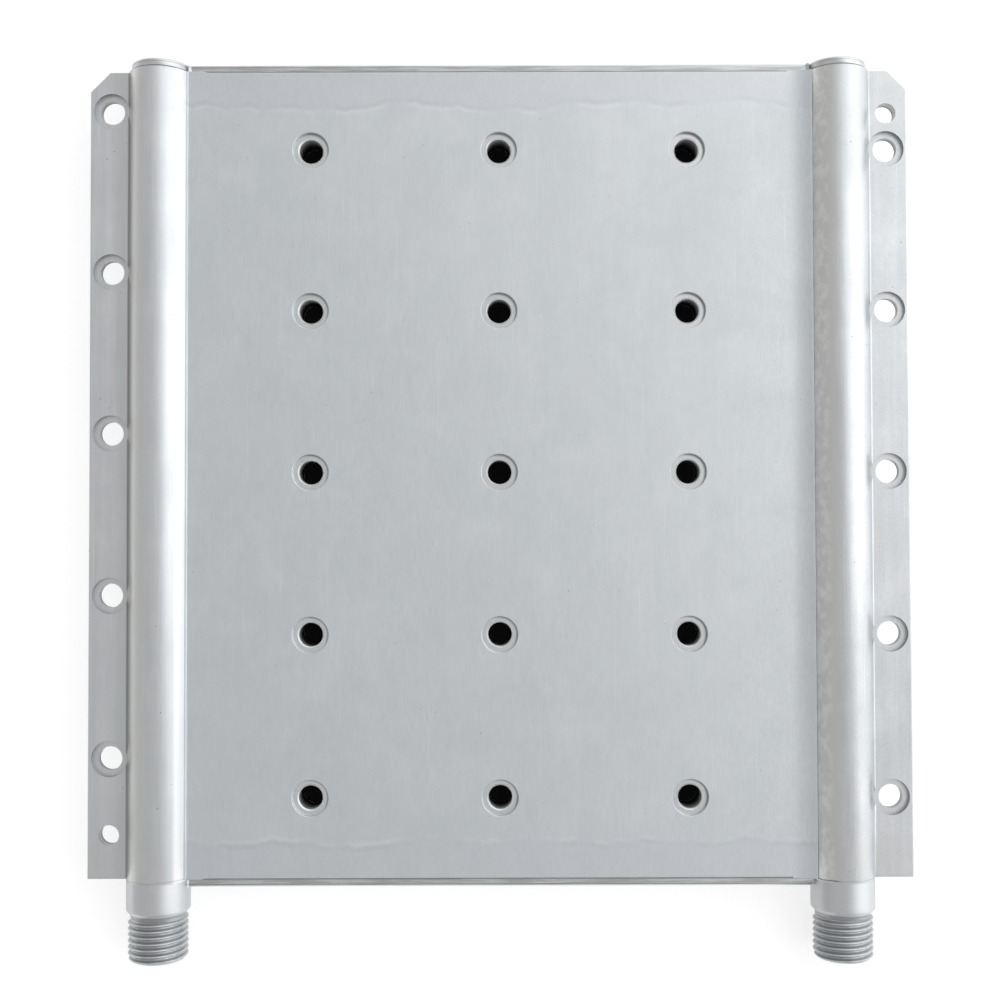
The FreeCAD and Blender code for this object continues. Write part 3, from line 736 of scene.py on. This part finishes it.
def threadRollTree():
    tree, given = startGroup("thread_roll", ("Centre X", "Centre Z", "Start Y", "Crest", "Depth", "Pitch"))
    position = splitPlace(tree, tree.nodes.new("GeometryNodeInputPosition").outputs[0])
    x = calc(tree, "SUBTRACT", position["X"], given["Centre X"])
    z = calc(tree, "SUBTRACT", position["Z"], given["Centre Z"])
    radius = distance(tree, x, z)
    angle = calc(tree, "ARCTAN2", z, x)
    turns = calc(tree, "ADD", calc(tree, "DIVIDE", position["Y"], given["Pitch"]),
                 calc(tree, "DIVIDE", angle, 2 * math.pi))
    wave = calc(tree, "SINE", calc(tree, "MULTIPLY", turns, 2 * math.pi))
    slope = calc(tree, "ARCSINE", calc(tree, "MULTIPLY", wave, portLook["sharpness"]))
    flank = calc(tree, "DIVIDE", slope, math.asin(portLook["sharpness"]))
    share = calc(tree, "MULTIPLY_ADD", flank, -0.5, 0.5)
    entered = calc(tree, "SUBTRACT", given["Start Y"], position["Y"])
    runIn = calc(tree, "MULTIPLY", given["Pitch"], portLook["runIn"])
    fadeIn = calc(tree, "DIVIDE", entered, runIn, clamp=True)
    threadRadius = calc(tree, "SUBTRACT", given["Crest"], product(tree, given["Depth"], share, fadeIn))
    wanted = calc(tree, "MINIMUM", radius, threadRadius)
    scale = calc(tree, "DIVIDE", wanted, calc(tree, "MAXIMUM", radius, 1e-6))
    moved = addNode(tree, "ShaderNodeCombineXYZ", {
        "X": calc(tree, "MULTIPLY_ADD", x, scale, given["Centre X"]), "Y": position["Y"],
        "Z": calc(tree, "MULTIPLY_ADD", z, scale, given["Centre Z"])}).outputs[0]
    inZone = calc(tree, "MULTIPLY", calc(tree, "LESS_THAN", position["Y"], given["Start Y"]),
                  calc(tree, "GREATER_THAN", radius,
                       calc(tree, "SUBTRACT", given["Crest"], portLook["rollDepth"] * mm)))
    placed = addNode(tree, "GeometryNodeSetPosition", {"Geometry": given["Geometry"], "Selection": inZone,
                                                       "Position": moved})
    return finishGroup(tree, placed.outputs[0], given)


threadRoll = threadRollTree()
look = portLook
for side, centreX in (("left", -tubeAxisX), ("right", tubeAxisX)):
    port = turnedMesh(f"spigot_{side}_threaded", portProfile(), centreX, rightLow.y, look["segments"])
    roll = port.modifiers.new("thread", "NODES")
    roll.node_group = threadRoll
    start = rightLow.y - (look["shoulder"] + look["shoulderBevel"] + look["rollEarly"]) * mm
    setInputs(roll, {"Centre X": centreX, "Centre Z": tubeAxisZ, "Start Y": start,
                     "Crest": turnedLook["crest"] * mm, "Depth": turnedLook["depth"] * mm,
                     "Pitch": look["pitch"] * mm, "Material": turnedMaterial})
    applyModifiers(port)
    shadeByAngle(port, 40)
    finishPiece(port, turnedMaterial, "turned_ends", "spigot_" + side)
print("threads rolled")


# braze fillets between the sheet or bars and the headers: one section each, swept along the joint

filletLook = {
    "left": {"leg": 0.22, "rise": 0.5, "curve": 1.5, "steps": 6},     # mm along the sheet, mm up the tube
    "right": {"leg": 5.0, "rise": 0.8, "curve": 2.4, "steps": 18},
    "bar": {"leg": 0.3, "rise": 0.3, "curve": 1.5, "steps": 5},
    "sunk": 0.04,                          # mm below the face
    "lip": (0.34, 0.06),                   # mm into the tube, mm above the rise
    "root": 0.55,                          # mm into the tube at the foot
    "spacing": 0.75,                       # mm between sections
    "wander": 0.1,
    "waveLength": 6,
    "endGap": 0.1,                         # mm short of each end
}


def filletTree():
    tree, given = startGroup("braze_fillet", ("Joint X", "Height", "Start Y", "End Y", "Wander", "Seed"),
                             ("Stations",))
    ends = [addNode(tree, "ShaderNodeCombineXYZ", {"X": given["Joint X"], "Y": given[label],
                                                   "Z": given["Height"]}).outputs[0]
            for label in ("Start Y", "End Y")]
    line = addNode(tree, "GeometryNodeCurvePrimitiveLine", {"Start": ends[0], "End": ends[1]})
    path = addNode(tree, "GeometryNodeResampleCurve", {"Curve": line.outputs[0],
                                                       "Count": given["Stations"]})
    upright = addNode(tree, "GeometryNodeSetCurveNormal", {"Curve": path.outputs[0]}, mode="Z_UP")
    section = addNode(tree, "GeometryNodeMeshToCurve", {"Mesh": given["Geometry"]})
    swept = addNode(tree, "GeometryNodeCurveToMesh", {
        "Curve": upright.outputs[0], "Profile Curve": section.outputs[0], "Fill Caps": True})
    position = splitPlace(tree, tree.nodes.new("GeometryNodeInputPosition").outputs[0])
    station = addNode(tree, "ShaderNodeCombineXYZ", {"X": given["Seed"], "Y": position["Y"], "Z": 0.0})
    wave = addNode(tree, "ShaderNodeTexNoise", {"Vector": station.outputs[0], "Detail": 3.0,
                                                "Scale": 1 / (filletLook["waveLength"] * mm)})
    drift = swing(tree, wave.outputs["Fac"], calc(tree, "MULTIPLY", given["Wander"], 2.0))
    offset = addNode(tree, "ShaderNodeCombineXYZ", {"X": drift, "Y": 0.0, "Z": 0.0}).outputs[0]
    placed = addNode(tree, "GeometryNodeSetPosition", {"Geometry": swept.outputs[0], "Offset": offset})
    return finishGroup(tree, placed.outputs[0], given)


filletMaterial = bareAluminium("braze_fillet", heatTint, seed=1, bump=0.12)
filletSweep = filletTree()
endGap = filletLook["endGap"] * mm
runs = []                                  # name, side, section, material, height, ends along the joint
for side in ("left", "right"):
    reach = coverHigh.y - endGap
    runs.append(("braze_fillet_" + side, side, filletLook[side], filletMaterial, frontZ, -reach, reach))
    for end, low, high in (("top", coverHigh.y, barHigh.y), ("bottom", -barHigh.y, -coverHigh.y)):
        runs.append((f"bar_fillet_{side}_{end}", side, filletLook["bar"], barMaterial, barHigh.z,
                     low + endGap, high - endGap))
for name, side, look, material, height, low, high in runs:
    toCentre = 1 if side == "left" else -1
    climb = [step / look["steps"] for step in range(look["steps"] + 1)]
    points = [(look["leg"] * (1 - share), look["rise"] * share ** look["curve"]) for share in climb]
    lipIn, lipUp = filletLook["lip"]
    points += [(-lipIn, look["rise"] + lipUp), (-filletLook["root"], -filletLook["sunk"]),
               (look["leg"], -filletLook["sunk"])]
    outline = bpy.data.meshes.new(name + "_section")
    outline.from_pydata([(along * mm, -up * mm, 0) for along, up in points],
                        [(spot, (spot + 1) % len(points)) for spot in range(len(points))], [])
    fillet = addObject(name, outline)
    sweep = fillet.modifiers.new("sweep", "NODES")
    sweep.node_group = filletSweep
    jointOut = math.sqrt(tubeRadius ** 2 - (height - tubeAxisZ) ** 2)   # where the tube meets that face
    ends = (low, high) if toCentre > 0 else (high, low)                 # keeps the section facing inwards
    stations = max(4, round((high - low) / filletLook["spacing"] / mm))
    setInputs(sweep, {"Joint X": toCentre * (jointOut - tubeAxisX), "Height": height, "Start Y": ends[0],
                      "End Y": ends[1], "Wander": filletLook["wander"] * mm, "Seed": float(toCentre),
                      "Stations": stations, "Material": material})
    applyModifiers(fillet)
    fillet.data.shade_smooth()
    fillet.data.set_sharp_from_angle(angle=math.radians(50))
    finishPiece(fillet, material, "sheets")
print("braze fillets swept")


# studio: pale floor, soft light from the right, camera straight above

studio = {
    "floorSize": 6.0,                      # m
    "floorZ": -0.0003,
    "floorShow": 0.68,
    "cardSize": (0.13, 0.17),              # m, dark card under the plate that stands in for the shade the bolt holes look down into
    "cardZ": -0.00015,
    "air": 0.525,
    "wall": 1.29,
    "wallX": 0.89,                         # which way the white wall stands
    "wallY": 0.51,
    "wallStart": 0.09,
    "wallFull": 0.55,
    "camera": (-0.02, -13.17, 303.93),     # mm
    "cameraTurn": (1.354, -0.016, -0.15),  # degrees
    "lens": 47.77,
    "lampPlace": (0.55, 0.12, 0.35),       # m
    "lampSize": (0.6, 0.8),
    "lampPower": 0.5,
}


def addSheet(name, size, height):
    bpy.ops.mesh.primitive_grid_add(size=size, location=(0, 0, height), x_subdivisions=2, y_subdivisions=2)
    bpy.context.object.name = name
    return bpy.context.object


def makeFloor():
    floor = addSheet("floor", studio["floorSize"], studio["floorZ"])
    material = bpy.data.materials.new("white_table")
    material.use_nodes = True
    tree = material.node_tree
    tree.nodes.clear()
    paths = tree.nodes.new("ShaderNodeLightPath").outputs
    seen = calc(tree, "MAXIMUM", paths["Is Camera Ray"],
                calc(tree, "MAXIMUM", paths["Is Glossy Ray"], paths["Is Transmission Ray"]))
    strength = calc(tree, "MULTIPLY", seen, studio["floorShow"])
    glow = addNode(tree, "ShaderNodeEmission", {"Color": (1, 1, 1, 1), "Strength": strength})
    paint = addNode(tree, "ShaderNodeBsdfDiffuse", {"Color": (0.5, 0.5, 0.5, 1)})
    both = addNode(tree, "ShaderNodeAddShader", {0: glow.outputs[0], 1: paint.outputs[0]})
    out = tree.nodes.new("ShaderNodeOutputMaterial")
    tree.links.new(both.outputs[0], out.inputs["Surface"])
    floor.data.materials.append(material)


def makeCard():
    # painted shade: a dark card under the plate, seen only through the bolt holes
    card = addSheet("shade_card", 1, studio["cardZ"])
    card.scale = (*studio["cardSize"], 1)
    dark = bpy.data.materials.new("shade_card")
    dark.use_nodes = True
    shader = dark.node_tree.nodes["Principled BSDF"]
    shader.inputs["Base Color"].default_value = (0.01, 0.01, 0.01, 1)
    shader.inputs["Roughness"].default_value = 0.9
    card.data.materials.append(dark)


def makeLamp():
    lamp = bpy.data.lights.new("right_box", "AREA")
    lamp.shape = "RECTANGLE"
    lamp.size, lamp.size_y = studio["lampSize"]
    lamp.energy = studio["lampPower"]
    holder = addObject("right_box", lamp)
    holder.location = studio["lampPlace"]
    holder.rotation_euler = (-Vector(studio["lampPlace"])).to_track_quat("-Z", "Y").to_euler()


def makeWorld():
    world = bpy.data.worlds.new("studio_air")
    bpy.context.scene.world = world
    world.use_nodes = True
    tree = world.node_tree
    axes = splitPlace(tree, tree.nodes.new("ShaderNodeTexCoord").outputs["Generated"])
    towards = calc(tree, "ADD", calc(tree, "MULTIPLY", axes["X"], studio["wallX"]),
                   calc(tree, "MULTIPLY", axes["Y"], studio["wallY"]))
    wall = ramp(tree, towards, studio["wallStart"], studio["wallFull"], studio["air"], studio["wall"])
    tree.nodes["Background"].inputs["Color"].default_value = (1, 1, 1, 1)
    plug(tree, wall, tree.nodes["Background"].inputs["Strength"])


def makeCamera():
    data = bpy.data.cameras.new("camera")
    data.lens = studio["lens"]
    data.sensor_width = 36
    data.clip_start = 0.01
    camera = addObject("camera", data)
    camera.location = Vector(studio["camera"]) * mm
    camera.rotation_euler = Euler([math.radians(angle) for angle in studio["cameraTurn"]], "XYZ")
    bpy.context.scene.camera = camera


makeFloor()
makeCard()
makeWorld()
makeLamp()
makeCamera()
bpy.context.scene.view_settings.view_transform = "Standard"
print("studio lit")
